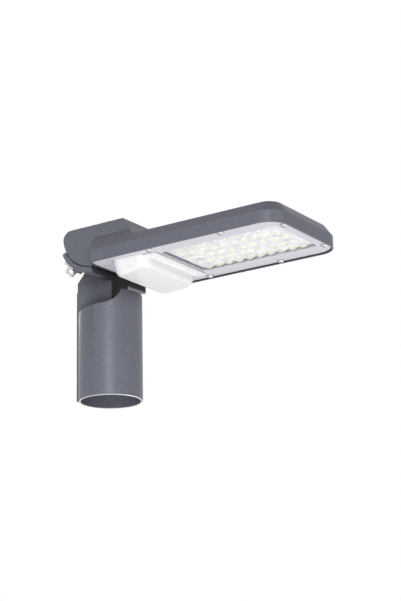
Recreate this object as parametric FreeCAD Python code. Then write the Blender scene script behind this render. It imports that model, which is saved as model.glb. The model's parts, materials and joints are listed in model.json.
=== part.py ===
"""LED street light head on a tilting pole-top adapter.

Millimetres. The origin is the centre of the pole socket's mouth, +Z runs up the
socket and +X runs along the head to its free end. The head rocks about one axis
along Y in a curved cradle on top of the adapter.
"""
import FreeCAD, Part
import math
import os

# Pole socket and the tube round it
socket_r = 31.0
tube_wall = 2.2
socket_depth = 88.0
tube_front_top_z = 112.0
mouth_chamfer = 0.8

# Clamp spine at the back of the tube, with its set screws
spine_x = -38.0
spine_half_y = 10.5
spine_bottom_z = 3.0
spine_top_z = 121.0
spine_round = 3.0
set_screw_r = 4.0
set_screw_z = (24.0, 70.0)
set_screw_pole_gap = 0.4
set_screw_hex_af = 4.0

# Scoop that frees the neck from the tube
scoop_front_x = 27.4
scoop_round = 16.0
scoop_floor_front_z = 97.0
scoop_floor_rear_z = 92.8

# Neck between the tube and the cradle
neck_half_y = 15.0
neck_rear_x = -31.8
neck_rear_top_z = 128.8
neck_slant_x = 13.8
neck_slant_z = 15.5
neck_corner_r = 3.0
neck_wall = 3.0
neck_side_wall = 4.0
passage_rear_x = -17.0

# Tilt axis, rocker and cradle
pivot_x = 13.7
pivot_z = 171.2
rocker_r = 39.4
rocker_gap = 0.5
cradle_side_in = 0.2
cradle_outer_r = 43.1
cradle_outer_drop = 2.8
cradle_rear_deg = 207.0
cradle_front_x = 13.0
cradle_corner_r = 5.0
cradle_tip_round = 1.6

# Tilt range, nose down and nose up, and its clamp bolts
nose_down_deg = 5.0
nose_up_deg = 15.0
bolt_deg = 225.0
bolt_side_in = 10.5
bolt_r = 3.0
bolt_hex_af = 10.0
bolt_head_h = 4.0
bolt_in_wall = 9.0
slot_clearance = 0.5
pad_r = 44.6
pad_half_y = 8.6
saddle_travel_deg = 12.0
saddle_half_y = 8.0
saddle_half_t = 7.0
saddle_min_t = 3.0
seat_gap = 0.3
washer_r = 6.0
washer_t = 1.2
spring_washer_r = 5.4
spring_washer_t = 1.6
spring_split = 1.2
fit = 0.05

# Head casting: the flat plate, the driver hump and the cooling ribs
rim_z = 131.0
plate_half_y = 62.0
plate_end_x = 243.3
plate_rear_x = 15.6
plate_wall_h = 12.4
chamfer_in = 8.0
chamfer_up = 11.0
end_corner_r = 22.0
rear_corner_r = 11.5
hump_side_in = 5.3
hump_top_z = 176.0
hump_front_x = 51.6
hump_slope_x = 16.1
hump_round_share = 0.2222
hump_edge_r = 1.6
cast_wall = 4.0
rib_count = 9
rib_pitch = 9.0
rib_t = 2.4
rib_h = 6.0
rib_rear_x = 80.0
rib_end_in = 21.3

# Light grey base plate that closes the casting from below
rim_t = 2.0
plate_gap = 0.3
base_recess = 1.5
base_t = 2.0
base_rear_x = 16.9
rear_notch_gap = 0.8
vent_r = 1.3
vents_in = ((21.9, 10.5), (25.9, 13.4))
bay_mouth_x = (48.0, 85.0)
bay_mouth_in = 8.7
bay_front_x = 86.0
bay_mouth_r = 3.0
wire_way_y = (26.0, 32.0)
screw_hole_gap = 0.25

# Lens window and the optical stack behind it
window_rear_x = 92.5
window_end_in = 13.8
window_side_in = 23.3
window_corner_r = 4.0
lens_margin = 3.6
lens_t = 2.0
lens_dome_r = 4.6
lens_dome_h = 2.1
lens_tip_r = 1.2
lens_round = 3.0
gasket_t = 1.0
gasket_w = 3.4
board_margin = 1.6
board_t = 1.6
pad_t = 0.5
chip_side = 3.5
chip_t = 0.8
led_rows = 5
led_columns = 10
led_rear_in = 9.9
led_front_in = 13.7
led_side_in = 5.5

# Screws through the base plate
panel_screw_r = 2.0
panel_head_r = 3.5
panel_head_h = 2.3
panel_screw_len = 12.0
panel_cross_w = 1.0
panel_cross_reach = 1.9
panel_cross_depth = 1.2
panel_screws_in = ((6.3, 23.6), (67.8, 6.2), (154.3, 7.0))

# White driver cover below the bay: a soft dome with a thin tongue ahead of it
cover_x = (34.5, 90.5)
cover_lap_y = 9.5
cover_dome_x = 79.6
cover_mid_x = 60.0
cover_rear_depth = 15.0
cover_mid_depth = 13.6
cover_front_depth = 10.5
cover_rear_lean = 1.5
cover_front_lean = 2.0
cover_side_lean = 7.5
cover_corner_r = 13.0
cover_edge_r = 6.0
cover_wall = 2.2
tongue_t = 1.6
tongue_in = 4.0
tongue_r = 3.0

# Pieces in the driver bay
bay_gap = 1.4
driver_inner_y = 11.0
driver_share = 0.55
driver_corner_r = 1.5
driver_tab = 5.0
driver_tab_t = 2.0
surge_len = 33.0
surge_inner_y = 13.0
surge_share = 0.5
terminal_x = (66.5, 82.0)
terminal_half_y = 17.0
terminal_h = 11.0
terminal_poles = 3
terminal_wire_r = 2.6
terminal_well_r = 2.2
terminal_well_in = 4.5
small_screw_r = 1.5
small_head_r = 2.8
roof_head_r = 2.2
small_head_h = 1.8
small_screw_len = 3.0
earth_at = (75.0, 30.0)
earth_screw_r = 2.0
earth_head_r = 4.0
earth_head_h = 2.4

# Cable gland in the rocker wall
gland_deg = 232.0
gland_hole_r = 6.0
gland_bore_r = 4.2
gland_recess = 0.6
gland_hex_af = 15.0
gland_hex_share = 0.11
gland_nut_r = 7.0
gland_nut_share = 0.19
gland_nut_round = 2.0
gland_seal_wall = 1.2

# Reach of the cutting bodies, beyond every side of the object
far = 300.0

V = FreeCAD.Vector
Y_AXIS = V(0, 1, 0)
Z_AXIS = V(0, 0, 1)

# Sizes worked out from the driving ones
tube_r = socket_r + tube_wall
cradle_r = rocker_r + rocker_gap
base_z = rim_z + base_recess
base_top_z = base_z + base_t
plate_top_z = rim_z + plate_wall_h + chamfer_up
lens_top_z = base_top_z + lens_t
gasket_top_z = lens_top_z + gasket_t
pocket_top_z = gasket_top_z + chip_t + board_t + pad_t
board_z = pocket_top_z - pad_t - board_t
bay_roof_z = hump_top_z - cast_wall
hump_rear_r = hump_round_share * (hump_top_z - rim_z)
low_roof_z = plate_top_z - cast_wall
rocker_in_r = rocker_r - cast_wall
bay_depth = bay_roof_z - (pivot_z - rocker_in_r)
hump_slope = hump_slope_x / (hump_top_z - plate_top_z)
hump_half_y = plate_half_y - chamfer_in - hump_side_in
cradle_half_y = hump_half_y - cradle_side_in
bolt_y = cradle_half_y - bolt_side_in
rear_notch_y = cradle_half_y + rear_notch_gap
bay_mouth_half_y = hump_half_y - bay_mouth_in
cover_half_y = bay_mouth_half_y + cover_lap_y
window_x = (window_rear_x, plate_end_x - window_end_in)
window_half_y = plate_half_y - window_side_in
led_first_x = window_x[0] + led_rear_in
led_pitch_x = (window_x[1] - led_front_in - led_first_x) / (led_columns - 1)
led_pitch_y = 2 * (window_half_y - led_side_in) / (led_rows - 1)
roof_front_x = hump_front_x + hump_slope * cast_wall - cast_wall * math.hypot(1, hump_slope)
boss_front_x = pivot_x - (rocker_in_r - bolt_in_wall - bolt_r - cast_wall) * math.sqrt(0.5)
bay_x = (boss_front_x + bay_gap, roof_front_x - bay_gap)
bay_side_y = hump_half_y - cast_wall - bay_gap
driver_x = (bay_x[0], bay_x[1] - driver_tab)
driver_y = (driver_inner_y, bay_side_y)
driver_h = driver_share * bay_depth
surge_x = (bay_x[0], bay_x[0] + surge_len)
surge_y = (-bay_side_y, -surge_inner_y)
surge_h = surge_share * bay_depth
gland_hex_h = gland_hex_share * bay_depth
gland_nut_h = gland_nut_share * bay_depth
gland_flat_r = math.sqrt(rocker_in_r ** 2 - gland_hex_af ** 2 / 3) - fit
gland_foot_r = gland_flat_r - gland_hex_h
saddle_top_r = pad_r + seat_gap + saddle_min_t
washer_top_r = saddle_top_r + washer_t
bolt_seat_r = washer_top_r + spring_washer_t


def box(x0, x1, y0, y1, z0, z1):
    """Box between two corners."""
    return Part.makeBox(x1 - x0, y1 - y0, z1 - z0, V(x0, y0, z0))


def rod(r, length, base, axis):
    """Cylinder of radius r that starts at base and runs along axis."""
    return Part.makeCylinder(r, length, base, axis)


def on_arc(r, degrees, y=0.0):
    """Point at radius r from the tilt axis, at an angle from +X towards +Z."""
    a = math.radians(degrees)
    return V(pivot_x + r * math.cos(a), y, pivot_z + r * math.sin(a))


def outward(degrees):
    """Direction away from the tilt axis at an angle from +X towards +Z."""
    a = math.radians(degrees)
    return V(math.cos(a), 0, math.sin(a))


def face_of(edges):
    """Flat face inside a closed run of edges."""
    return Part.Face(Part.Wire(edges))


def line(a, b):
    """Straight edge between two points."""
    return Part.LineSegment(a, b).toShape()


def arc(a, middle, b):
    """Circular edge through three points."""
    return Part.Arc(a, middle, b).toShape()


def closed(points):
    """Straight edges from point to point and back to the first."""
    return [line(a, b) for a, b in zip(points, points[1:] + points[:1])]


def across(face, half_y):
    """Sweeps a face in the XZ plane from -half_y to +half_y."""
    swept = face.extrude(V(0, 2 * half_y, 0))
    swept.translate(V(0, -half_y, 0))
    return swept


def polygon_xz(points):
    """Face in the XZ plane with straight sides."""
    corners = [V(x, 0, z) for x, z in points]
    return face_of(closed(corners))


def outline(x0, x1, half_y, z, r_rear, r_front):
    """Rounded rectangle at height z, with its own radius at each end."""
    c = math.sqrt(0.5)
    edges = []
    corners = (
        (x0, -half_y, 1, 1, r_rear, False),
        (x1, -half_y, -1, 1, r_front, True),
        (x1, half_y, -1, -1, r_front, False),
        (x0, half_y, 1, -1, r_rear, True),
    )
    ends = []
    for x, y, sx, sy, r, along_x_first in corners:
        beside_y = V(x, y + sy * r, z)
        beside_x = V(x + sx * r, y, z)
        middle = V(x + sx * r * (1 - c), y + sy * r * (1 - c), z)
        if along_x_first:
            ends.append((beside_x, middle, beside_y))
        else:
            ends.append((beside_y, middle, beside_x))
    for i, (first, middle, last) in enumerate(ends):
        edges.append(arc(first, middle, last))
        edges.append(line(last, ends[(i + 1) % 4][0]))
    return Part.Wire(edges)


def slab(x0, x1, half_y, z0, z1, r_rear, r_front):
    """Plate with a rounded rectangular outline."""
    return Part.Face(outline(x0, x1, half_y, z0, r_rear, r_front)).extrude(V(0, 0, z1 - z0))


def hexagon(af, height, base, axis):
    """Hexagonal prism across flats af that starts at base and runs along axis."""
    r = af / math.sqrt(3)
    turns = [i * math.pi / 3 for i in range(6)]
    ring = [V(r * math.cos(t), r * math.sin(t), 0) for t in turns]
    prism = face_of(closed(ring)).extrude(V(0, 0, height))
    prism.Placement = FreeCAD.Placement(base, FreeCAD.Rotation(Z_AXIS, axis))
    return prism


def near(a, b):
    """True where two coordinates agree."""
    return abs(a - b) < 0.1


def round_edges(shape, r, test):
    """Rounds the edges whose centre passes a test."""
    chosen = [e for e in shape.Edges if test(e, e.CenterOfMass)]
    return shape.makeFillet(r, chosen)


def both_sides(shape):
    """The shape and its mirror image across the XZ plane."""
    return [shape, shape.mirror(V(0, 0, 0), Y_AXIS)]


def export(name, shapes):
    """Writes one node's solids to its own file."""
    solids = []
    for shape in shapes if isinstance(shapes, list) else [shapes]:
        solids.extend(shape.Solids)
    whole = solids[0] if len(solids) == 1 else Part.makeCompound(solids)
    whole.exportStep("parts/%s.step" % name)


def cradle_band(r_in, r_out, drop, start_deg, end_deg, half_y):
    """Arc plate about the tilt axis; its outer arc's centre sits lower by drop."""
    outer = rod(r_out, 2 * half_y, V(pivot_x, -half_y, pivot_z - drop), Y_AXIS)
    inner = rod(r_in, 2 * half_y + 2, V(pivot_x, -half_y - 1, pivot_z), Y_AXIS)
    reach = 4 * r_out
    wedge = [V(pivot_x, 0, pivot_z)]
    steps = 6
    for i in range(steps + 1):
        degrees = start_deg + (end_deg - start_deg) * i / steps
        wedge.append(on_arc(reach, degrees))
    sector = across(face_of(closed(wedge)), half_y + 1)
    return outer.cut(inner).common(sector)


def scoop():
    """Space cut across the tube's top so that the neck stands free."""
    front_floor_x = scoop_front_x - scoop_round
    c = math.sqrt(0.5)
    centre = V(front_floor_x, 0, scoop_floor_front_z + scoop_round)
    above = pivot_z
    behind = 2 * spine_x
    middle = centre + V(scoop_round * c, 0, -scoop_round * c)
    edges = [
        line(V(behind, 0, above), V(behind, 0, scoop_floor_rear_z)),
        line(V(behind, 0, scoop_floor_rear_z), V(neck_rear_x, 0, scoop_floor_rear_z)),
        line(V(neck_rear_x, 0, scoop_floor_rear_z), V(front_floor_x, 0, scoop_floor_front_z)),
        arc(V(front_floor_x, 0, scoop_floor_front_z), middle, V(scoop_front_x, 0, centre.z)),
        line(V(scoop_front_x, 0, centre.z), V(scoop_front_x, 0, above)),
        line(V(scoop_front_x, 0, above), V(behind, 0, above)),
    ]
    return across(face_of(edges), 2 * tube_r)


def neck():
    """Hollow web that carries the cradle; its front is flush with the cradle's."""
    foot_z = socket_depth + 1.0
    slant_top = (neck_rear_x + neck_slant_x, neck_rear_top_z + neck_slant_z)
    side = [
        (neck_rear_x, foot_z),
        (neck_rear_x, neck_rear_top_z),
        slant_top,
        (cradle_front_x, pivot_z - 0.9 * cradle_r),
        (cradle_front_x, foot_z),
    ]
    web = across(polygon_xz(side), neck_half_y)

    def upright(e, m):
        """True for the two upright corners at the neck's front."""
        return near(m.x, cradle_front_x) and near(abs(m.y), neck_half_y)

    return round_edges(web, neck_corner_r, upright)


def tilt_slot():
    """Slot in the cradle for the near clamp bolt, with round ends."""
    half = bolt_r + slot_clearance
    start = bolt_deg - nose_down_deg
    end = bolt_deg + nose_up_deg
    inside_r = cradle_r - cast_wall
    path = cradle_band(inside_r, 1.3 * cradle_r, 0, start, end, half)
    for degrees in (start, end):
        path = path.fuse(rod(half, 0.5 * cradle_r, on_arc(inside_r, degrees), outward(degrees)))
    path.translate(V(0, -bolt_y, 0))
    return path


def saddle_flat():
    """Shallow recess round the near slot in which the clamp saddle slides."""
    start = bolt_deg - nose_down_deg - saddle_travel_deg
    end = bolt_deg + nose_up_deg + saddle_travel_deg
    recess = cradle_band(pad_r, 2 * cradle_r, 0, start, end, pad_half_y)
    recess.translate(V(0, -bolt_y, 0))
    return recess


def cradle():
    """Curved plate under the rocker, cut off upright at its front."""
    band = cradle_band(cradle_r, cradle_outer_r, cradle_outer_drop, cradle_rear_deg, 300, cradle_half_y)
    band = band.cut(box(cradle_front_x, far, -far, far, 0, far))
    tip = on_arc(cradle_outer_r, cradle_rear_deg)

    def rear_edge(e, m):
        """True for the two long edges of the rear tip."""
        return m.distanceToPoint(V(tip.x, m.y, tip.z)) < 3 and e.Length > cradle_half_y

    def front_corner(e, m):
        """True for the two upright corners at the front."""
        return near(m.x, cradle_front_x) and near(abs(m.y), cradle_half_y)

    band = round_edges(band, cradle_tip_round, rear_edge)
    return round_edges(band, cradle_corner_r, front_corner)


def set_screw_axis(z):
    """Base point of a set screw, just outside the pole."""
    return V(-(socket_r + set_screw_pole_gap), 0, z)


def pole_adapter():
    """Casting: socket tube, clamp spine, neck and cradle."""
    tube = rod(tube_r, tube_front_top_z, V(0, 0, 0), Z_AXIS)
    tube = tube.cut(scoop())
    spine = box(spine_x, 0, -spine_half_y, spine_half_y, spine_bottom_z, spine_top_z)
    spine = round_edges(spine, spine_round, lambda e, m: near(m.x, spine_x))
    hollow_x = neck_rear_x + neck_wall
    hollow_y = spine_half_y + 1
    spine = spine.cut(box(hollow_x, 1, -hollow_y, hollow_y, socket_depth, spine_top_z + 1))
    body = tube.fuse([spine, neck(), cradle()])
    body = body.cut(rod(cradle_r, 2 * far, V(pivot_x, -far, pivot_z), Y_AXIS))
    body = body.cut(rod(socket_r, socket_depth + 1, V(0, 0, -1), Z_AXIS))
    passage_y = neck_half_y - neck_side_wall
    passage_front_x = cradle_front_x - neck_wall
    body = body.cut(box(passage_rear_x, passage_front_x, -passage_y, passage_y, socket_depth - 1, pivot_z))
    for cut in both_sides(tilt_slot()) + both_sides(saddle_flat()):
        body = body.cut(cut)
    for z in set_screw_z:
        body = body.cut(rod(set_screw_r + fit, tube_r, set_screw_axis(z) + V(tube_wall, 0, 0), V(-1, 0, 0)))
    body = body.removeSplitter()
    outer_rim = 2 * math.pi * tube_r
    rims = [e for e in body.Edges if near(e.CenterOfMass.z, 0) and near(e.Length, outer_rim)]
    return body.makeChamfer(mouth_chamfer, rims)


def pole_set_screws():
    """Headless socket screws that clamp the pole through the spine."""
    length = -spine_x - socket_r - set_screw_pole_gap - 0.1
    screws = []
    for z in set_screw_z:
        base = set_screw_axis(z)
        screw = rod(set_screw_r, length, base, V(-1, 0, 0))
        socket = hexagon(set_screw_hex_af, length, base + V(-0.45 * length, 0, 0), V(-1, 0, 0))
        screws.append(screw.cut(socket))
    return screws


def hump_profile():
    """Side view of the rocker and the driver hump above it."""
    centre_z = hump_top_z - hump_rear_r
    reach = rocker_r - hump_rear_r
    centre_x = pivot_x - math.sqrt(reach ** 2 - (pivot_z - centre_z) ** 2)
    join_deg = 180 + math.degrees(math.atan2(pivot_z - centre_z, pivot_x - centre_x))
    bottom = on_arc(rocker_r, 270)
    join = on_arc(rocker_r, join_deg)
    turn = math.radians((join_deg + 90) / 2)
    bend = V(centre_x + hump_rear_r * math.cos(turn), 0, centre_z + hump_rear_r * math.sin(turn))
    top_rear = V(centre_x, 0, hump_top_z)
    top_front = V(hump_front_x, 0, hump_top_z)
    slope_foot = V(hump_front_x + hump_slope_x, 0, plate_top_z)
    floor = V(slope_foot.x, 0, bottom.z)
    edges = [
        arc(bottom, on_arc(rocker_r, (270 + join_deg) / 2), join),
        arc(join, bend, top_rear),
        line(top_rear, top_front),
        line(top_front, slope_foot),
        line(slope_foot, floor),
        line(floor, bottom),
    ]
    return face_of(edges)


def hump():
    """Driver hump: upright sides that run on from the plate's sloping edge."""
    core = across(hump_profile(), hump_half_y)
    step_y = plate_half_y - chamfer_in
    flare_h = (step_y - hump_half_y) * chamfer_up / chamfer_in
    step_x = plate_rear_x + rear_corner_r - chamfer_in
    wide = across(hump_profile(), step_y).common(box(step_x, far, -far, far, 0, far))
    side = [(-step_y, 0), (-step_y, plate_top_z)]
    side = side + [(-hump_half_y, plate_top_z + flare_h), (-hump_half_y, far)]
    side = side + [(-y, z) for y, z in reversed(side)]
    corners = [V(0, y, z) for y, z in side]
    section = face_of(closed(corners))
    return core.fuse(wide.common(section.extrude(V(far, 0, 0)))).removeSplitter()


def bay():
    """Space for the driver, inside the hump and open at the bottom."""
    mouth_x = base_rear_x + cast_wall
    foot_z = pivot_z - math.sqrt(rocker_in_r ** 2 - (mouth_x - pivot_x) ** 2)
    inner_r = hump_rear_r - cast_wall
    centre_z = hump_top_z - hump_rear_r
    reach = rocker_r - hump_rear_r
    centre_x = pivot_x - math.sqrt(reach ** 2 - (pivot_z - centre_z) ** 2)
    join_deg = 180 + math.degrees(math.atan2(pivot_z - centre_z, pivot_x - centre_x))
    turn = math.radians((join_deg + 90) / 2)
    foot_deg = 270 + math.degrees(math.asin((mouth_x - pivot_x) / rocker_in_r))
    roof_front = V(roof_front_x, 0, bay_roof_z)
    step = V(roof_front_x + hump_slope * (bay_roof_z - low_roof_z), 0, low_roof_z)
    foot = V(mouth_x, 0, foot_z)
    join = on_arc(rocker_in_r, join_deg)
    bend = V(centre_x + inner_r * math.cos(turn), 0, centre_z + inner_r * math.sin(turn))
    edges = [
        line(V(mouth_x, 0, base_top_z - 1), foot),
        arc(foot, on_arc(rocker_in_r, (foot_deg + join_deg) / 2), join),
        arc(join, bend, V(centre_x, 0, bay_roof_z)),
        line(V(centre_x, 0, bay_roof_z), roof_front),
        line(roof_front, step),
        line(step, V(bay_front_x, 0, low_roof_z)),
        line(V(bay_front_x, 0, low_roof_z), V(bay_front_x, 0, base_top_z - 1)),
        line(V(bay_front_x, 0, base_top_z - 1), V(mouth_x, 0, base_top_z - 1)),
    ]
    return across(face_of(edges), hump_half_y - cast_wall)


def base_outline(grow, z0, z1):
    """Block on the outline of the base plate."""
    half_y = plate_half_y - rim_t - plate_gap + grow
    end_x = plate_end_x - rim_t - plate_gap + grow
    rear_r = rear_corner_r - rim_t
    front_r = end_corner_r - rim_t
    return slab(base_rear_x - grow, end_x, half_y, z0, z1, rear_r, front_r)


def ribs():
    """Cooling ribs along the top of the plate."""
    rib_front_x = plate_end_x - rib_end_in
    rise = [
        (rib_rear_x, plate_top_z - 1),
        (rib_rear_x + rib_h, plate_top_z + rib_h),
        (rib_front_x - rib_h, plate_top_z + rib_h),
        (rib_front_x, plate_top_z - 1),
    ]
    one = across(polygon_xz(rise), rib_t / 2)
    row = []
    for i in range(rib_count):
        rib = one.copy()
        rib.translate(V(0, (i - (rib_count - 1) / 2) * rib_pitch, 0))
        row.append(rib)
    return row


def lens_outline(grow, z0, z1):
    """Block on the outline of the lens panel."""
    x0 = window_x[0] - lens_margin - grow
    x1 = window_x[1] + lens_margin + grow
    return slab(x0, x1, window_half_y + lens_margin + grow, z0, z1, lens_round, lens_round)


def board_outline(shrink, z0, z1):
    """Block inside the gasket ring, where the LED board lies."""
    inset = gasket_w - lens_margin + shrink
    x0 = window_x[0] + inset
    x1 = window_x[1] - inset
    return slab(x0, x1, window_half_y - inset, z0, z1, 1.0, 1.0)


def screw_places():
    """Near and far places of the base plate's screws."""
    return [(plate_end_x - a, s * (plate_half_y - b)) for a, b in panel_screws_in for s in (-1, 1)]


def bolt_boss():
    """Boss inside the rocker that takes the near clamp bolt."""
    depth = cast_wall + bolt_in_wall
    return rod(bolt_r + cast_wall, depth - 1, near_bolt_point(rocker_r - depth), outward(bolt_deg))


def head_housing():
    """Casting: plate with sloping edges, driver hump, rocker and ribs."""
    wall_z = rim_z + plate_wall_h
    wall = slab(plate_rear_x, plate_end_x, plate_half_y, rim_z, wall_z, rear_corner_r, end_corner_r)
    lower = outline(plate_rear_x, plate_end_x, plate_half_y, wall_z, rear_corner_r, end_corner_r)
    rear_r = rear_corner_r - chamfer_in
    front_r = end_corner_r - chamfer_in
    upper_x = plate_end_x - chamfer_in
    upper = outline(plate_rear_x, upper_x, plate_half_y - chamfer_in, plate_top_z, rear_r, front_r)
    top = Part.makeLoft([lower, upper], True, True)
    body = wall.fuse([top, hump()]).removeSplitter()

    def top_side_edge(e, m):
        """True for the long edges of the hump's top."""
        return near(m.z, hump_top_z) and near(abs(m.y), hump_half_y)

    body = round_edges(body, hump_edge_r, top_side_edge)
    body = body.fuse(ribs())
    body = body.cut(bay())
    rocker_foot_z = pivot_z - rocker_r
    body = body.cut(box(plate_rear_x - 1, base_rear_x, -rear_notch_y, rear_notch_y, rim_z - 1, rocker_foot_z))
    body = body.cut(base_outline(plate_gap, rim_z - 1, base_top_z))
    body = body.cut(lens_outline(plate_gap, rim_z, gasket_top_z))
    body = body.cut(board_outline(-plate_gap, rim_z, pocket_top_z))
    pocket_rear_x = board_outline(0, 0, 1).BoundBox.XMin
    y0, y1 = wire_way_y
    body = body.cut(box(bay_front_x - 1, pocket_rear_x + 1, y0, y1, base_top_z - 1, pocket_top_z))
    for boss in both_sides(bolt_boss()):
        body = body.fuse(boss.common(across(hump_profile(), hump_half_y - 1)))
    hole_r = rocker_in_r - bolt_in_wall + 1
    for hole in both_sides(rod(bolt_r + fit, rocker_r, near_bolt_point(hole_r), outward(bolt_deg))):
        body = body.cut(hole)
    body = body.cut(rod(gland_hole_r + fit, rocker_r, gland_point(0.7 * rocker_in_r), outward(gland_deg)))
    for x, y in screw_places():
        body = body.cut(rod(panel_screw_r + fit, panel_screw_len, V(x, y, rim_z), Z_AXIS))
    roof_holes = [(small_screw_r, *place) for place in roof_screws()]
    for r, x, y, z in roof_holes + [(earth_screw_r, *earth_place())]:
        body = body.cut(rod(r + fit, small_screw_len, V(x, y, z - 0.5), Z_AXIS))
    for x, y in board_screw_places():
        body = body.cut(rod(small_screw_r + fit, small_screw_len, V(x, y, pocket_top_z - 0.5), Z_AXIS))
    return body


def base_plate():
    """Light grey plate with the lens window, the bay mouth and its vent holes."""
    plate = base_outline(0, base_z, base_top_z)
    x0, x1 = window_x
    plate = plate.cut(slab(x0, x1, window_half_y, rim_z, base_top_z + 1, window_corner_r, window_corner_r))
    x0, x1 = bay_mouth_x
    plate = plate.cut(slab(x0, x1, bay_mouth_half_y, rim_z, base_top_z + 1, bay_mouth_r, bay_mouth_r))
    for x, y in screw_places():
        plate = plate.cut(rod(panel_screw_r + screw_hole_gap, plate_wall_h, V(x, y, rim_z), Z_AXIS))
    for x, inset in vents_in:
        for s in (-1, 1):
            plate = plate.cut(rod(vent_r, plate_wall_h, V(x, s * (hump_half_y - inset), rim_z), Z_AXIS))
    return plate


def led_places():
    """Centres of the light sources in rows and columns."""
    places = []
    for i in range(led_columns):
        for j in range(led_rows):
            places.append((led_first_x + i * led_pitch_x, (j - (led_rows - 1) / 2) * led_pitch_y))
    return places


def lens_panel():
    """Clear moulded panel with one shallow dome under each light source."""
    panel = lens_outline(0, base_top_z, lens_top_z)
    bend_r = 0.7 * lens_dome_r
    bend_h = 0.55 * lens_dome_h
    down = V(0, 0, -1)
    domes = []
    for x, y in led_places():
        foot = Part.makeCone(lens_dome_r, bend_r, bend_h, V(x, y, base_top_z), down)
        tip_h = lens_dome_h - bend_h
        tip = Part.makeCone(bend_r, lens_tip_r, tip_h, V(x, y, base_top_z - bend_h), down)
        domes.append(foot.fuse(tip))
    return panel.fuse(domes).removeSplitter()


def lens_gasket():
    """Rubber ring pressed between the lens panel and the casting."""
    ring = lens_outline(0, lens_top_z, gasket_top_z)
    return ring.cut(board_outline(-plate_gap, lens_top_z - 1, gasket_top_z + 1))


def board_screw_places():
    """Places of the screws that hold the LED board, between its rows."""
    middle_y = led_pitch_y / 2
    xs = (led_first_x + 0.5 * led_pitch_x, led_first_x + (led_columns - 1.5) * led_pitch_x)
    return [(x, s * middle_y) for x in xs for s in (-1, 1)]


def led_board():
    """Metal-core board that carries the light sources."""
    board = board_outline(board_margin, board_z, board_z + board_t)
    for x, y in board_screw_places():
        board = board.cut(rod(small_screw_r + screw_hole_gap, far, V(x, y, 0), Z_AXIS))
    return board


def thermal_pad():
    """Soft sheet that carries heat from the board into the casting."""
    pad = board_outline(board_margin, board_z + board_t, pocket_top_z)
    for x, y in board_screw_places():
        pad = pad.cut(rod(small_screw_r + screw_hole_gap, far, V(x, y, 0), Z_AXIS))
    return pad


def led_chips():
    """Light sources, square packages on the board."""
    half = chip_side / 2
    return [box(x - half, x + half, y - half, y + half, board_z - chip_t, board_z) for x, y in led_places()]


def pan_screw(head_r, head_h, shank_r, length, x, y, seat_z):
    """Screw that hangs its bevelled head below seat_z and runs up."""
    rim_h = 0.4 * head_h
    bevel = Part.makeCone(0.6 * head_r, head_r, head_h - rim_h, V(x, y, seat_z - head_h), Z_AXIS)
    head = bevel.fuse(rod(head_r, rim_h, V(x, y, seat_z - rim_h), Z_AXIS))
    return head.fuse(rod(shank_r, length, V(x, y, seat_z - rim_h), Z_AXIS)).removeSplitter()


def panel_screws():
    """Pan-head screws of the base plate, with a cross recess."""
    screws = []
    length = panel_screw_len - base_recess - 1
    z0 = base_z - panel_head_h
    z1 = z0 + panel_cross_depth
    a = panel_cross_reach
    w = panel_cross_w / 2
    for x, y in screw_places():
        screw = pan_screw(panel_head_r, panel_head_h, panel_screw_r, length, x, y, base_z)
        screw = screw.cut(box(x - a, x + a, y - w, y + w, z0, z1))
        screws.append(screw.cut(box(x - w, x + w, y - a, y + a, z0, z1)))
    return screws


def board_screws():
    """Small screws of the LED board."""
    length = board_t + pad_t + small_screw_len - 1
    places = board_screw_places()
    return [pan_screw(small_head_r, small_head_h, small_screw_r, length, x, y, board_z) for x, y in places]


def cover_form(inset):
    """Outer or inner form of the cover's dome, with leaning walls and soft edges."""
    x0 = cover_x[0] + inset
    x1 = cover_dome_x - inset
    half_y = cover_half_y - inset
    rear_rim = V(x0, 0, base_z)
    rear_foot = V(x0, 0, base_z - cover_rear_depth + inset)
    middle = V(cover_mid_x, 0, base_z - cover_mid_depth + inset)
    front_foot = V(x1, 0, base_z - cover_front_depth + inset)
    front_rim = V(x1, 0, base_z)
    side = [
        line(rear_rim, rear_foot),
        arc(rear_foot, middle, front_foot),
        line(front_foot, front_rim),
        line(front_rim, rear_rim),
    ]
    body = across(face_of(side), half_y)
    foot_z = rear_foot.z - 1
    foot_x0 = x0 + cover_rear_lean
    foot_x1 = x1 - cover_front_lean
    rim_r = cover_corner_r - inset
    foot_r = rim_r - cover_front_lean
    foot = outline(foot_x0, foot_x1, half_y - cover_side_lean, foot_z, foot_r, foot_r)
    rim = outline(x0, x1, half_y, base_z, rim_r, rim_r)
    body = body.common(Part.makeLoft([foot, rim], True, True))

    def lower(e, m):
        """True for the edges round the dome's bottom."""
        return m.z < base_z - 0.85 * cover_front_depth + inset

    return round_edges(body, cover_edge_r - inset, lower)


def driver_cover():
    """White moulded cover with a thin wall, open towards the bay."""
    tongue_x = cover_dome_x - cover_corner_r
    tongue_y = cover_half_y - tongue_in
    tongue = slab(tongue_x, cover_x[1], tongue_y, base_z - tongue_t, base_z, tongue_r, tongue_r)
    return cover_form(0).fuse(tongue).removeSplitter().cut(cover_form(cover_wall))


def roof_screws():
    """Screw places of the driver and the surge protector in the bay's roof."""
    places = []
    for x0, x1, y0, y1 in ((*driver_x, *driver_y), (*surge_x, *surge_y)):
        middle_y = (y0 + y1) / 2
        places.append((x0 - driver_tab / 2, middle_y, bay_roof_z))
        places.append((x1 + driver_tab / 2, middle_y, bay_roof_z))
    return places


def earth_place():
    """Place of the earth screw in the low roof."""
    return (earth_at[0], -earth_at[1], low_roof_z)


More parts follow.
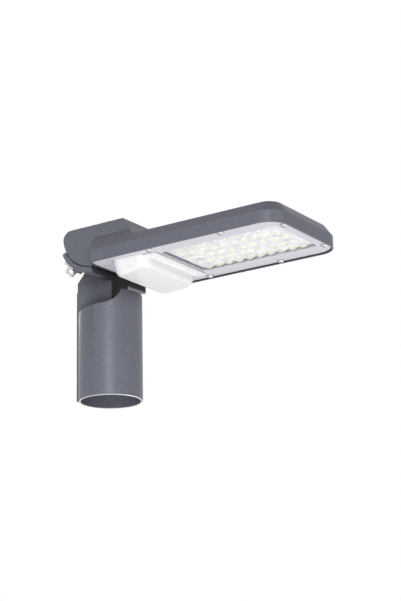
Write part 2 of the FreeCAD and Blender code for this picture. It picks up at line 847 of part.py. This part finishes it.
def tabbed_box(x, y, height, places):
    """Closed box hung from the bay's roof by a tab at each end."""
    body = box(x[0], x[1], y[0], y[1], bay_roof_z - height, bay_roof_z)
    middle_z = bay_roof_z - height / 2
    body = round_edges(body, driver_corner_r, lambda e, m: near(m.z, middle_z))
    middle_y = (y[0] + y[1]) / 2
    z0 = bay_roof_z - driver_tab_t
    tab = box(x[0] - driver_tab, x[1] + driver_tab, middle_y - driver_tab, middle_y + driver_tab, z0, bay_roof_z)
    body = body.fuse(tab).removeSplitter()
    for sx, sy, sz in places:
        body = body.cut(rod(small_screw_r + screw_hole_gap, 2 * driver_tab, V(sx, sy, sz - driver_tab), Z_AXIS))
    return body


def roof_screw_set(places):
    """Small screws that hold a tabbed box to the roof."""
    seat = bay_roof_z - driver_tab_t
    length = driver_tab_t + small_screw_len - 1
    screws = []
    for x, y, z in places:
        head = rod(roof_head_r, small_head_h, V(x, y, seat - small_head_h), Z_AXIS)
        screws.append(head.fuse(rod(small_screw_r, length, V(x, y, seat), Z_AXIS)).removeSplitter())
    return screws


def terminal_block():
    """Connector block for the supply wires, with wire entries and screw wells."""
    x0, x1 = terminal_x
    z0 = low_roof_z - terminal_h
    block = box(x0, x1, -terminal_half_y, terminal_half_y, z0, low_roof_z)
    pitch = 2 * terminal_half_y / terminal_poles
    wire_z = z0 + 0.45 * terminal_h
    for i in range(terminal_poles):
        y = (i - (terminal_poles - 1) / 2) * pitch
        block = block.cut(rod(terminal_wire_r, x1 - x0, V(x0, y, wire_z), V(1, 0, 0)))
        for x in (x0 + terminal_well_in, x1 - terminal_well_in):
            block = block.cut(rod(terminal_well_r, wire_z - z0, V(x, y, z0), Z_AXIS))
    return block


def earth_screw():
    """Earth terminal: pan-head screw in the low roof."""
    x, y, z = earth_place()
    return pan_screw(earth_head_r, earth_head_h, earth_screw_r, small_screw_len - 1, x, y, z)


def gland_point(r):
    """Point on the gland's axis at radius r from the tilt axis."""
    return on_arc(r, gland_deg)


def cable_gland():
    """Gland body: threaded neck through the rocker wall and a hexagon inside."""
    out = outward(gland_deg)
    neck_len = rocker_r - gland_recess - gland_flat_r
    body = rod(gland_hole_r, neck_len, gland_point(gland_flat_r), out)
    nut = hexagon(gland_hex_af, gland_hex_h, gland_point(gland_foot_r), out)
    body = body.fuse(nut).removeSplitter()
    return body.cut(rod(gland_bore_r, rocker_r, gland_point(0), out))


def gland_nut():
    """Domed clamping nut of the gland, inside the bay."""
    out = outward(gland_deg)
    end = gland_point(gland_foot_r - gland_nut_h)
    nut = rod(gland_nut_r, gland_nut_h, end, out)
    nut = round_edges(nut, gland_nut_round, lambda e, m: m.distanceToPoint(end) < 0.1)
    return nut.cut(rod(gland_bore_r, rocker_r, gland_point(0), out))


def gland_seal():
    """Rubber sleeve in the gland that grips the cable."""
    out = outward(gland_deg)
    length = gland_nut_h + gland_hex_h
    sleeve = rod(gland_bore_r - fit, length, gland_point(gland_foot_r - gland_nut_h), out)
    return sleeve.cut(rod(gland_bore_r - gland_seal_wall, rocker_r, gland_point(0), out))


def near_bolt_point(r):
    """Point on the near clamp bolt's axis at radius r from the tilt axis."""
    return on_arc(r, bolt_deg, -bolt_y)


def tilt_bolts():
    """Hexagon bolts that clamp the cradle between saddle and rocker."""
    out = outward(bolt_deg)
    start = rocker_in_r - bolt_in_wall + 2
    seat = near_bolt_point(bolt_seat_r)
    shank = rod(bolt_r, bolt_seat_r - start, near_bolt_point(start), out)
    head = hexagon(bolt_hex_af, bolt_head_h, seat, out)
    crown = Part.makeCone(0.62 * bolt_hex_af, 0.46 * bolt_hex_af, bolt_head_h, seat, out)
    return both_sides(shank.fuse(head.common(crown)).removeSplitter())


def ring_on_bolt(outer_r, r0, r1):
    """Ring round the near bolt between two radii from the tilt axis."""
    out = outward(bolt_deg)
    ring = rod(outer_r, r1 - r0, near_bolt_point(r0), out)
    return ring.cut(rod(bolt_r + screw_hole_gap, r1, near_bolt_point(rocker_in_r), out))


def tilt_washers():
    """Flat washers on the saddles."""
    return both_sides(ring_on_bolt(washer_r, saddle_top_r, washer_top_r))


def tilt_spring_washers():
    """Split spring washers under the bolt heads."""
    ring = ring_on_bolt(spring_washer_r, washer_top_r, bolt_seat_r)
    half = spring_split / 2
    split = box(-half, half, 0, washer_r, -spring_washer_t, spring_washer_t)
    turn = FreeCAD.Rotation(Z_AXIS, outward(bolt_deg))
    split.Placement = FreeCAD.Placement(near_bolt_point(bolt_seat_r), turn)
    return both_sides(ring.cut(split))


def tilt_saddles():
    """Clamp saddles: hollow to the cradle's curve below, flat on top."""
    out = outward(bolt_deg)
    corner = V(-saddle_half_t, -saddle_half_y, -rocker_gap - 2 * saddle_min_t)
    block = Part.makeBox(2 * saddle_half_t, 2 * saddle_half_y, -corner.z, corner)
    block.Placement = FreeCAD.Placement(near_bolt_point(saddle_top_r), FreeCAD.Rotation(Z_AXIS, out))
    block = block.cut(rod(pad_r + seat_gap, 2 * far, V(pivot_x, -far, pivot_z), Y_AXIS))
    return both_sides(block.cut(rod(bolt_r + screw_hole_gap, far, near_bolt_point(0), out)))


def build():
    """Makes every node and writes it."""
    places = roof_screws()
    nodes = {
        "pole_adapter": pole_adapter(),
        "pole_set_screws": pole_set_screws(),
        "head_housing": head_housing(),
        "base_plate": base_plate(),
        "panel_screws": panel_screws(),
        "lens_panel": lens_panel(),
        "lens_gasket": lens_gasket(),
        "led_board": led_board(),
        "led_chips": led_chips(),
        "thermal_pad": thermal_pad(),
        "board_screws": board_screws(),
        "driver_cover": driver_cover(),
        "led_driver": tabbed_box(driver_x, driver_y, driver_h, places[:2]),
        "driver_screws": roof_screw_set(places[:2]),
        "surge_protector": tabbed_box(surge_x, surge_y, surge_h, places[2:]),
        "surge_screws": roof_screw_set(places[2:]),
        "terminal_block": terminal_block(),
        "earth_screw": earth_screw(),
        "cable_gland": cable_gland(),
        "gland_nut": gland_nut(),
        "gland_seal": gland_seal(),
        "tilt_bolts": tilt_bolts(),
        "tilt_washers": tilt_washers(),
        "tilt_spring_washers": tilt_spring_washers(),
        "tilt_saddles": tilt_saddles(),
    }
    for name, shapes in nodes.items():
        export(name, shapes)


os.makedirs("parts", exist_ok=True)
build()
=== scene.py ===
"""Looks of the LED street light head: powder-coated castings, pale base plate, clear lens panel."""
import json
import math
import bmesh
import bpy
from mathutils import Matrix, Vector

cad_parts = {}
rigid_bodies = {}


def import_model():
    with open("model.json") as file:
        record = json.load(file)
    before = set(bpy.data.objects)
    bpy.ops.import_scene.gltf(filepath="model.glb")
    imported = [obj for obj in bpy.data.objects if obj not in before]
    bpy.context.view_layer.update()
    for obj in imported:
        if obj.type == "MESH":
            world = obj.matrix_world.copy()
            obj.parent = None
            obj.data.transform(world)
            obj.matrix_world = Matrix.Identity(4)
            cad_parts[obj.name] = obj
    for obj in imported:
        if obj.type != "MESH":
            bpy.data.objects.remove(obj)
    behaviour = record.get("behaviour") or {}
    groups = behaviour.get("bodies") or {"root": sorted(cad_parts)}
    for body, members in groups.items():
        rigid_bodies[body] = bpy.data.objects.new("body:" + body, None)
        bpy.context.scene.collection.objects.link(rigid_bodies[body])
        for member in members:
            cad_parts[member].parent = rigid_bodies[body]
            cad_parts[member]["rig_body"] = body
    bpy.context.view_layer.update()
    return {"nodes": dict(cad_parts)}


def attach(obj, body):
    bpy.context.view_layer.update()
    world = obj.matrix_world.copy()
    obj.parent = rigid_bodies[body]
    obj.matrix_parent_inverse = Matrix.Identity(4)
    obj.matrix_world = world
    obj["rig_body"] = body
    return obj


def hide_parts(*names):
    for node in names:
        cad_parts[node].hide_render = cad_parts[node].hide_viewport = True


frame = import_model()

# Pole adapter: socket tube, clamp spine, neck and curved cradle in one aluminium die casting.
# It comes out of the die with small radii on every edge, is shot-blasted and gets a grey
# powder coat; the face of the socket's mouth is turned last and stays bare.
mm = 0.001
adapter_edge = 0.7 * mm
merge_gap = 0.002 * mm
flat_angle = math.radians(0.4)
crease_angle = math.radians(28)
coat_grey = "747683"
coat_dark = "575964"
coat_flake = "A3A6B2"
coat_roughness = (0.36, 0.44)
coat_relief = 0.08 * mm
cloud_pitch = 22 * mm
# Painted shade on the coat: its colour darkens within this reach of other surfaces, down to this
# share.
coat_reach = 30 * mm
coat_shade = 0.1
bare_metal = "DCDDE2"
mouth_face = 0.35 * mm
# The real grain is about 0.3 mm and a flake about 0.05 mm: both are drawn coarser, to show.
grain_pitch = 1.5 * mm
flake_pitch = 0.5 * mm
flake_rarity = 0.86
flake_size = 0.42
flake_share = 0.55
# Share of open sky at a point, for the painted shade in corners: below the first it is a corner,
# above the second a free face.
corner_sky = 0.5
open_sky = 0.95


def colour(code):
    """Linear colour of an sRGB hex code."""
    levels = [int(code[i:i + 2], 16) / 255 for i in (0, 2, 4)]
    linear = [v / 12.92 if v <= 0.04045 else ((v + 0.055) / 1.055) ** 2.4 for v in levels]
    return (*linear, 1.0)


def finish(name):
    """New empty node material; gives the material and its node tree."""
    material = bpy.data.materials.new(name)
    material.use_nodes = True
    material.node_tree.nodes.clear()
    return material, material.node_tree


def add(tree, kind, settings=None, **inputs):
    """Adds a node with its settings; each input, by name or as inN, is a value or a socket."""
    node = tree.nodes.new(kind)
    for key, value in (settings or {}).items():
        setattr(node, key, value)
    for key, value in inputs.items():
        by_number = key.startswith("in") and key[2:].isdigit()
        socket = node.inputs[int(key[2:]) if by_number else key.replace("_", " ")]
        if isinstance(value, bpy.types.NodeSocket):
            tree.links.new(value, socket)
        else:
            socket.default_value = value
    return node


def painted_crevice_shade(tree, tint, reach, shade):
    """Tint with painted shade: darker in corners and gaps, where little light comes."""
    room = add(tree, "ShaderNodeAmbientOcclusion", {"samples": 12}, Distance=reach)
    share = add(
        tree, "ShaderNodeMapRange", Value=room.outputs["AO"],
        From_Min=corner_sky, From_Max=open_sky, To_Min=shade, To_Max=1.0)
    dark = add(
        tree, "ShaderNodeMix", {"data_type": "RGBA", "blend_type": "MULTIPLY"},
        in0=1.0, in6=tint, in7=share.outputs[0])
    return dark.outputs[2]


def powder_coat(name):
    """Textured powder coat: satin grey with a fine grain; its metal flakes catch the light."""
    material, tree = finish(name)
    place = add(tree, "ShaderNodeTexCoord").outputs["Object"]
    grain = add(
        tree, "ShaderNodeTexNoise", Vector=place,
        Scale=1 / grain_pitch, Detail=3.0, Roughness=0.6)
    cloud = add(tree, "ShaderNodeTexNoise", Vector=place, Scale=1 / cloud_pitch, Detail=2.0)
    mixed = add(
        tree, "ShaderNodeMix", {"data_type": "RGBA"},
        in0=grain.outputs["Fac"], in6=colour(coat_dark), in7=colour(coat_grey))
    cells = add(tree, "ShaderNodeTexVoronoi", Vector=place, Scale=1 / flake_pitch)
    toss = add(tree, "ShaderNodeSeparateColor", Color=cells.outputs["Color"])
    lucky = add(
        tree, "ShaderNodeMath", {"operation": "GREATER_THAN"},
        in0=toss.outputs["Red"], in1=flake_rarity)
    close = add(
        tree, "ShaderNodeMath", {"operation": "LESS_THAN"},
        in0=cells.outputs["Distance"], in1=flake_size)
    flake = add(
        tree, "ShaderNodeMath", {"operation": "MULTIPLY"},
        in0=lucky.outputs[0], in1=close.outputs[0])
    share = add(
        tree, "ShaderNodeMath", {"operation": "MULTIPLY"},
        in0=flake.outputs[0], in1=flake_share)
    tint = add(
        tree, "ShaderNodeMix", {"data_type": "RGBA"},
        in0=share.outputs[0], in6=mixed.outputs[2], in7=colour(coat_flake))
    # Painted shade: the coat's colour is darker in corners, gaps and under the cradle, where shade
    # falls.
    tone = painted_crevice_shade(tree, tint.outputs[2], coat_reach, coat_shade)
    rough = add(
        tree, "ShaderNodeMapRange", Value=cloud.outputs["Fac"],
        To_Min=coat_roughness[0], To_Max=coat_roughness[1])
    bump = add(
        tree, "ShaderNodeBump", Strength=0.35, Distance=coat_relief, Height=grain.outputs["Fac"])
    paint = add(
        tree, "ShaderNodeBsdfPrincipled", Base_Color=tone, Roughness=rough.outputs[0],
        Metallic=0.2, Normal=bump.outputs[0])
    bare = add(
        tree, "ShaderNodeBsdfPrincipled", Base_Color=colour(bare_metal),
        Roughness=0.5, Metallic=0.8)
    height = add(tree, "ShaderNodeSeparateXYZ", Vector=place)
    turned = add(
        tree, "ShaderNodeMath", {"operation": "LESS_THAN"},
        in0=height.outputs["Z"], in1=mouth_face)
    both = add(
        tree, "ShaderNodeMixShader",
        in0=turned.outputs[0], in1=paint.outputs[0], in2=bare.outputs[0])
    add(tree, "ShaderNodeOutputMaterial", Surface=both.outputs[0])
    return material


def stand_in(shape, node, material):
    """Puts a finished shape in a CAD node's place, on the node's own body."""
    mesh = bpy.data.meshes.new(node + "_shape")
    shape.to_mesh(mesh)
    shape.free()
    mesh.materials.clear()
    mesh.materials.append(material)
    mesh.shade_smooth()
    mesh.set_sharp_from_angle(angle=crease_angle)
    piece = bpy.data.objects.new(node + "_finished", mesh)
    bpy.context.scene.collection.objects.link(piece)
    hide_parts(node)
    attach(piece, frame["nodes"][node]["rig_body"])
    return piece


def cast_copy(node, edge, material):
    """The CAD node's shape with its corners merged and its sharp edges rounded as cast."""
    shape = bmesh.new()
    shape.from_mesh(frame["nodes"][node].data)
    bmesh.ops.remove_doubles(shape, verts=shape.verts, dist=merge_gap)
    bmesh.ops.dissolve_limit(shape, angle_limit=flat_angle, verts=shape.verts, edges=shape.edges)
    piece = stand_in(shape, node, material)
    rounding = piece.modifiers.new("cast edges", "BEVEL")
    rounding.width = edge
    rounding.segments = 2
    rounding.limit_method = "ANGLE"
    rounding.angle_limit = crease_angle
    rounding.harden_normals = True


def dress(node, material):
    """Puts a finish on a CAD node that keeps its shape."""
    slots = frame["nodes"][node].data.materials
    slots.clear()
    slots.append(material)


coat = powder_coat("powder_coated_die_cast_aluminium")
cast_copy("pole_adapter", adapter_edge, coat)

# Pole set screws: headless M8 socket screws, cut from steel bar and zinc plated.
# They are screwed in from the back of the spine until they bite on the pole.
zinc_grey = "B9BBBD"
worn_bright = "D9DADA"
steel_grain = 0.8 * mm
steel_relief = 0.02 * mm
steel_polish = 0.07
steel_wear = 0.09


def turned_metal(name, code, roughness, grain):
    """Turned or pressed metal: its fine grain blurs the reflections unevenly."""
    material, tree = finish(name)
    place = add(tree, "ShaderNodeTexCoord").outputs["Object"]
    wear = add(tree, "ShaderNodeTexNoise", Vector=place, Scale=1 / grain, Detail=4.0)
    rough = add(
        tree, "ShaderNodeMapRange", Value=wear.outputs["Fac"],
        To_Min=roughness - steel_polish, To_Max=roughness + steel_wear)
    shade = add(
        tree, "ShaderNodeMix", {"data_type": "RGBA"},
        in0=wear.outputs["Fac"], in6=colour(code), in7=colour(worn_bright))
    bump = add(
        tree, "ShaderNodeBump", Strength=0.2, Distance=steel_relief, Height=wear.outputs["Fac"])
    metal = add(
        tree, "ShaderNodeBsdfPrincipled", Base_Color=shade.outputs[2],
        Roughness=rough.outputs[0], Metallic=1.0, Normal=bump.outputs[0])
    add(tree, "ShaderNodeOutputMaterial", Surface=metal.outputs[0])
    return material


zinc = turned_metal("zinc_plated_steel", zinc_grey, 0.45, steel_grain)
dress("pole_set_screws", zinc)

# Head housing: plate, driver hump, rocker and cooling ribs in one aluminium die casting.
# It has the adapter's powder coat, and its edges are a little rounder than the adapter's.
housing_edge = 0.9 * mm
cast_copy("head_housing", housing_edge, coat)

# Cable gland in the rocker: hexagon body, domed nut and rubber sleeve; the first two are nylon.
# Its neck goes through the wall, and the nut squeezes the sleeve round the cable inside.
moulded_relief = 0.02 * mm
mottle_pitch = 14 * mm
roughness_play = 0.05
fine_spark = 0.3 * mm
spark_grain = 0.4 * mm
coarse_spark = 0.5 * mm


def moulded(name, code, roughness, mottle, grain):
    """Moulded plastic or rubber: one even colour, with the soft sheen of a spark-eroded mould."""
    material, tree = finish(name)
    place = add(tree, "ShaderNodeTexCoord").outputs["Object"]
    noise = add(tree, "ShaderNodeTexNoise", Vector=place, Scale=1 / grain, Detail=3.0)
    slow = add(tree, "ShaderNodeTexNoise", Vector=place, Scale=1 / mottle_pitch, Detail=1.0)
    tone = add(
        tree, "ShaderNodeMix", {"data_type": "RGBA"},
        in0=slow.outputs["Fac"], in6=colour(code), in7=colour(mottle))
    rough = add(
        tree, "ShaderNodeMapRange", Value=noise.outputs["Fac"],
        To_Min=roughness - roughness_play, To_Max=roughness + roughness_play)
    bump = add(
        tree, "ShaderNodeBump",
        Strength=0.15, Distance=moulded_relief, Height=noise.outputs["Fac"])
    body = add(
        tree, "ShaderNodeBsdfPrincipled", Base_Color=tone.outputs[2],
        Roughness=rough.outputs[0], Normal=bump.outputs[0])
    add(tree, "ShaderNodeOutputMaterial", Surface=body.outputs[0])
    return material


nylon = moulded("black_nylon", "1E1E20", 0.42, "252527", spark_grain)
silicone = moulded("matt_black_silicone", "232324", 0.72, "2B2B2C", fine_spark)
dress("cable_gland", nylon)
dress("gland_nut", nylon)
dress("gland_seal", silicone)

# Driver bay: closed driver box, surge protector, terminal block and earth screw under the hump.
# The boxes are moulded plastic, and plated screws hold them to the roof by their tabs.
driver_white = moulded("matt_off_white_plastic", "D8D8D2", 0.55, "DEDED9", coarse_spark)
surge_blue = moulded("matt_blue_plastic", "26324F", 0.5, "2A3757", coarse_spark)
terminal_grey = moulded("pale_grey_nylon", "C4C6BE", 0.5, "CCCEC7", spark_grain)
brass = turned_metal("plain_brass", "B08D4B", 0.3, steel_grain)
dress("led_driver", driver_white)
dress("driver_screws", zinc)
dress("surge_protector", surge_blue)
dress("surge_screws", zinc)
dress("terminal_block", terminal_grey)
dress("earth_screw", brass)

# LED board: aluminium plate with a white solder mask, screwed up through a soft heat pad.
# Each light source is a small square package filled with yellow phosphor resin.
heat_pad = moulded("grey_filled_silicone", "70757C", 0.8, "787D84", fine_spark)
white_mask = moulded("white_solder_mask", "C3C2C8", 0.3, "BFBEC5", fine_spark)
resin = moulded("yellow_phosphor_resin", "E9E29A", 0.25, "F2EDBB", fine_spark)
white_nylon = moulded("white_nylon", "CBCACC", 0.45, "C6C5C8", spark_grain)
dress("thermal_pad", heat_pad)
dress("led_board", white_mask)
dress("led_chips", resin)
dress("board_screws", white_nylon)

# Lens panel: one injection-moulded sheet of clear polycarbonate, with a dome under each source.
# The mould is polished, so the board and the yellow sources show through it. A rubber ring
# seals it against the casting.
lens_x = (88.9 * mm, 233.1 * mm)
lens_half_y = 42.3 * mm
lens_z = (134.5 * mm, 136.5 * mm)
lens_corner_r = 3.0 * mm
dome_r = 4.6 * mm
dome_h = 2.1 * mm
dome_columns = [(102.4 + 12.6 * i) * mm for i in range(10)]
dome_rows = [16.6 * mm * j for j in range(-2, 3)]
dome_levels = (1.0, 0.85, 0.68, 0.5, 0.32, 0.14)
dome_blend = 0.15 * mm
dome_scatter = 0.45
dome_tint = "EAE9D0"
clear_resin = "FDFDFD"
clear_way = "FCFCFC"
flow_pitch = 5 * mm
flow_relief = 0.05 * mm


def clear_moulding(name):
    """Clear polycarbonate: bends light where it enters; the frosted domes look milky and pale."""
    material, tree = finish(name)
    place = add(tree, "ShaderNodeTexCoord").outputs["Object"]
    flow = add(tree, "ShaderNodeTexNoise", Vector=place, Scale=1 / flow_pitch, Detail=2.0)
    bump = add(
        tree, "ShaderNodeBump", Strength=0.1, Distance=flow_relief, Height=flow.outputs["Fac"])
    plastic = add(
        tree, "ShaderNodeBsdfPrincipled", Base_Color=colour(clear_resin), Roughness=0.06,
        IOR=1.585, Transmission_Weight=1.0, Normal=bump.outputs[0])
    ray = add(tree, "ShaderNodeLightPath")
    side = add(tree, "ShaderNodeNewGeometry")
    open_way = add(tree, "ShaderNodeBsdfTransparent", Color=colour(clear_way))
    one_way = add(
        tree, "ShaderNodeMixShader",
        in0=side.outputs["Backfacing"], in1=plastic.outputs[0], in2=open_way.outputs[0])
    height = add(tree, "ShaderNodeSeparateXYZ", Vector=place)
    dome = add(
        tree, "ShaderNodeMapRange", Value=height.outputs["Z"], From_Min=lens_z[0],
        From_Max=lens_z[0] - dome_blend, To_Min=0.0, To_Max=dome_scatter)
    soft = add(tree, "ShaderNodeBsdfDiffuse", Color=colour(dome_tint))
    frosted = add(
        tree, "ShaderNodeMixShader",
        in0=dome.outputs[0], in1=one_way.outputs[0], in2=soft.outputs[0])
    both = add(
        tree, "ShaderNodeMixShader",
        in0=ray.outputs["Is Shadow Ray"], in1=frosted.outputs[0], in2=open_way.outputs[0])
    add(tree, "ShaderNodeOutputMaterial", Surface=both.outputs[0])
    return material


def lens_shape():
    """Sheet with rounded corners and a spherical dome below each light source."""
    shape = bmesh.new()
    sphere_r = (dome_r ** 2 + dome_h ** 2) / (2 * dome_h)
    slope = math.asin(dome_r / sphere_r)
    profile = []
    for level in dome_levels:
        t = slope * level
        z = lens_z[0] + sphere_r * (math.cos(slope) - math.cos(t))
        profile.append(shape.verts.new((sphere_r * math.sin(t), 0, z)))
    arc = [shape.edges.new(pair) for pair in zip(profile, profile[1:])]
    bmesh.ops.spin(
        shape, geom=profile + arc, axis=(0, 0, 1), cent=(0, 0, 0),
        angle=2 * math.pi, steps=32, use_merge=True)
    tip_z = min(v.co.z for v in shape.verts)
    tip = [e for e in shape.edges if max(v.co.z for v in e.verts) < tip_z + merge_gap]
    bmesh.ops.holes_fill(shape, edges=tip, sides=0)
    dome = shape.verts[:] + shape.edges[:] + shape.faces[:]
    for x in dome_columns:
        for y in dome_rows:
            copy = bmesh.ops.duplicate(shape, geom=dome)["geom"]
            corners = [v for v in copy if isinstance(v, bmesh.types.BMVert)]
            bmesh.ops.translate(shape, verts=corners, vec=(x, y, 0))
    bmesh.ops.delete(shape, geom=[v for v in dome if isinstance(v, bmesh.types.BMVert)])
    size = Vector((lens_x[1] - lens_x[0], 2 * lens_half_y, lens_z[1] - lens_z[0]))
    middle = Vector((sum(lens_x) / 2, 0, sum(lens_z) / 2))
    matrix = Matrix.Translation(middle) @ Matrix.Diagonal((*size, 1.0))
    corners = bmesh.ops.create_cube(shape, size=1.0, matrix=matrix)["verts"]
    sides = {e for v in corners for e in v.link_edges}
    upright = [e for e in sides if abs(e.verts[0].co.z - e.verts[1].co.z) > size.z / 2]
    bmesh.ops.bevel(
        shape, geom=upright, offset=lens_corner_r, offset_type="OFFSET",
        segments=6, profile=0.5, affect="EDGES", material=-1)
    wide = [f for f in shape.faces if f.calc_area() > size.x * size.y / 2]
    under = [f for f in wide if f.calc_center_median().z < middle.z]
    bmesh.ops.delete(shape, geom=under, context="FACES_ONLY")
    rims = [e for e in shape.edges if e.is_boundary]
    bmesh.ops.triangle_fill(shape, use_beauty=True, edges=rims)
    bmesh.ops.recalc_face_normals(shape, faces=shape.faces)
    return shape


polycarbonate = clear_moulding("clear_polycarbonate")
pale_rubber = moulded("matt_pale_grey_silicone", "D0D1D6", 0.7, "D6D7DB", fine_spark)
dress("lens_gasket", pale_rubber)
stand_in(lens_shape(), "lens_panel", polycarbonate)

# Base plate: pressed aluminium sheet with a smooth pale grey coat, screwed into the housing.
# It frames the lens panel and carries the driver cover.
plate_edge = 0.35 * mm
plate_grey = "CDCDD5"
plate_light = "D2D2DA"
plate_roughness = (0.32, 0.4)
# Painted shade on the plate: its colour darkens within this reach, at the lens window's edges and
# in the vent holes.
plate_reach = 2.4 * mm
plate_shade = 0.3
peel_pitch = 1.6 * mm
peel_relief = 0.03 * mm
tone_pitch = 30 * mm


def pale_coat(name):
    """Smooth pale coat: its soft orange peel only blurs the reflections a little."""
    material, tree = finish(name)
    place = add(tree, "ShaderNodeTexCoord").outputs["Object"]
    peel = add(tree, "ShaderNodeTexNoise", Vector=place, Scale=1 / peel_pitch, Detail=2.0)
    slow = add(tree, "ShaderNodeTexNoise", Vector=place, Scale=1 / tone_pitch, Detail=1.0)
    tone = add(
        tree, "ShaderNodeMix", {"data_type": "RGBA"},
        in0=slow.outputs["Fac"], in6=colour(plate_grey), in7=colour(plate_light))
    bump = add(
        tree, "ShaderNodeBump", Strength=0.2, Distance=peel_relief, Height=peel.outputs["Fac"])
    rough = add(
        tree, "ShaderNodeMapRange", Value=peel.outputs["Fac"],
        To_Min=plate_roughness[0], To_Max=plate_roughness[1])
    # Painted shade: the plate's colour is darker at the window's edges and in its holes.
    shaded = painted_crevice_shade(tree, tone.outputs[2], plate_reach, plate_shade)
    body = add(
        tree, "ShaderNodeBsdfPrincipled", Base_Color=shaded,
        Roughness=rough.outputs[0], Normal=bump.outputs[0])
    add(tree, "ShaderNodeOutputMaterial", Surface=body.outputs[0])
    return material


base_coat = pale_coat("smooth_pale_grey_coat")
cast_copy("base_plate", plate_edge, base_coat)

# Driver cover: white plastic moulding with a thin wall, glossy from the polished mould.
# It closes the driver bay below and is clipped through the base plate.
cover_edge = 0.8 * mm
cover_white = moulded("gloss_white_moulding", "E8E8E9", 0.28, "EAEAEA", spark_grain)
cast_copy("driver_cover", cover_edge, cover_white)

# Panel screws: six pan-head screws with a cross recess, cold-headed from steel, zinc plated.
# They are driven up through the base plate into the casting.
dress("panel_screws", zinc)

# Clamp bolts: M6 hexagon bolts with split and flat washers on curved saddles, plain stainless.
# Each draws a saddle, the cradle and the rocker together and slides in the cradle's slot.
bolt_grain = 0.9 * mm
stainless = turned_metal("plain_stainless_steel", "D0D0CD", 0.42, bolt_grain)
for node in ("tilt_bolts", "tilt_washers", "tilt_spring_washers", "tilt_saddles"):
    dress(node, stainless)

# Studio: a pale painted floor well below the raised head, white surroundings with a slightly
# dimmer ceiling, and five soft round lamps. The camera, metal and glass see it as white.
floor_z = -1.6
floor_half = 14.0
floor_lift = 0.7
world_level = 0.2
ceiling_from = 0.3
ceiling_full = 0.7
ceiling_share = 0.75
aim = Vector((0.08, 0.0, 0.12))
lamps = (
    ("low_lamp", (0.58, -1.32, -0.95), 0.8, 22.0),
    ("low_far_lamp", (0.7, 0.8, -1.2), 1.2, 9.0),
    ("camera_side_lamp", (0.9, -1.45, 0.2), 0.5, 6.0),
    ("end_lamp", (2.0, -0.2, 1.2), 1.2, 4.0),
    ("back_lamp", (-1.4, 1.5, 1.3), 1.5, 42.0),
)


def mirrored(tree, ray):
    """One for rays that metal sends back or that glass lets through."""
    seen = add(
        tree, "ShaderNodeMath", {"operation": "MAXIMUM"},
        in0=ray.outputs["Is Glossy Ray"], in1=ray.outputs["Is Transmission Ray"])
    return seen.outputs[0]


shape = bmesh.new()
bmesh.ops.create_grid(
    shape, x_segments=1, y_segments=1, size=floor_half,
    matrix=Matrix.Translation((0, 0, floor_z)))
floor_mesh = bpy.data.meshes.new("floor")
shape.to_mesh(floor_mesh)
shape.free()
floor = bpy.data.objects.new("floor", floor_mesh)
bpy.context.scene.collection.objects.link(floor)
floor_paint, tree = finish("pale_floor_paint")
matt = add(tree, "ShaderNodeBsdfPrincipled", Base_Color=colour("F4F4F4"), Roughness=0.9)
white = add(tree, "ShaderNodeEmission", Color=colour("FFFFFF"), Strength=1.0)
ray = add(tree, "ShaderNodeLightPath")
seen = add(
    tree, "ShaderNodeMath", {"operation": "MAXIMUM"},
    in0=ray.outputs["Is Camera Ray"], in1=mirrored(tree, ray))
lift = add(
    tree, "ShaderNodeMath", {"operation": "MULTIPLY"}, in0=seen.outputs[0], in1=floor_lift)
pale = add(
    tree, "ShaderNodeMixShader", in0=lift.outputs[0], in1=matt.outputs[0], in2=white.outputs[0])
add(tree, "ShaderNodeOutputMaterial", Surface=pale.outputs[0])
floor_mesh.materials.append(floor_paint)

world = bpy.data.worlds.new("white_studio")
world.use_nodes = True
tree = world.node_tree
tree.nodes.clear()
ray = add(tree, "ShaderNodeLightPath")
level = add(tree, "ShaderNodeMapRange", Value=mirrored(tree, ray), To_Min=world_level, To_Max=1.0)
place = add(tree, "ShaderNodeTexCoord").outputs["Generated"]
way = add(tree, "ShaderNodeSeparateXYZ", Vector=place)
ceiling = add(
    tree, "ShaderNodeMapRange", Value=way.outputs["Z"], From_Min=ceiling_from,
    From_Max=ceiling_full, To_Min=1.0, To_Max=ceiling_share)
dimmed = add(
    tree, "ShaderNodeMath", {"operation": "MULTIPLY"},
    in0=level.outputs["Result"], in1=ceiling.outputs["Result"])
strength = add(
    tree, "ShaderNodeMapRange", Value=ray.outputs["Is Camera Ray"],
    To_Min=dimmed.outputs[0], To_Max=1.0)
sky = add(tree, "ShaderNodeBackground", Color=colour("FFFFFF"), Strength=strength.outputs[0])
add(tree, "ShaderNodeOutputWorld", Surface=sky.outputs[0])
bpy.context.scene.world = world

for name, spot, size, power in lamps:
    lamp = bpy.data.lights.new(name, "AREA")
    lamp.shape = "DISK"
    lamp.size = size
    lamp.energy = power
    stand = bpy.data.objects.new(name, lamp)
    stand.location = spot
    stand.rotation_euler = (aim - Vector(spot)).to_track_quat("-Z", "Y").to_euler()
    bpy.context.scene.collection.objects.link(stand)

# Camera: below the head and to one side of its free end, looking up at the lens panel.
# Its place, turn and lens come from the ellipse of the socket's mouth and the rim lines.
camera_place = (1.0511, -1.3907, -0.4085)
camera_right = Vector((0.82614, 0.5632, -0.01743))
camera_up = Vector((0.1737, -0.22512, 0.95872))
camera = bpy.data.cameras.new("camera")
camera.lens = 103.98
camera.sensor_width = 36.0
camera.clip_start = 0.05
camera.clip_end = 60.0
turn = Matrix((camera_right, camera_up, camera_right.cross(camera_up))).transposed()
tripod = bpy.data.objects.new("camera", camera)
tripod.matrix_world = Matrix.Translation(camera_place) @ turn.to_4x4()
bpy.context.scene.collection.objects.link(tripod)
bpy.context.scene.camera = tripod
bpy.context.scene.view_settings.view_transform = "Standard"
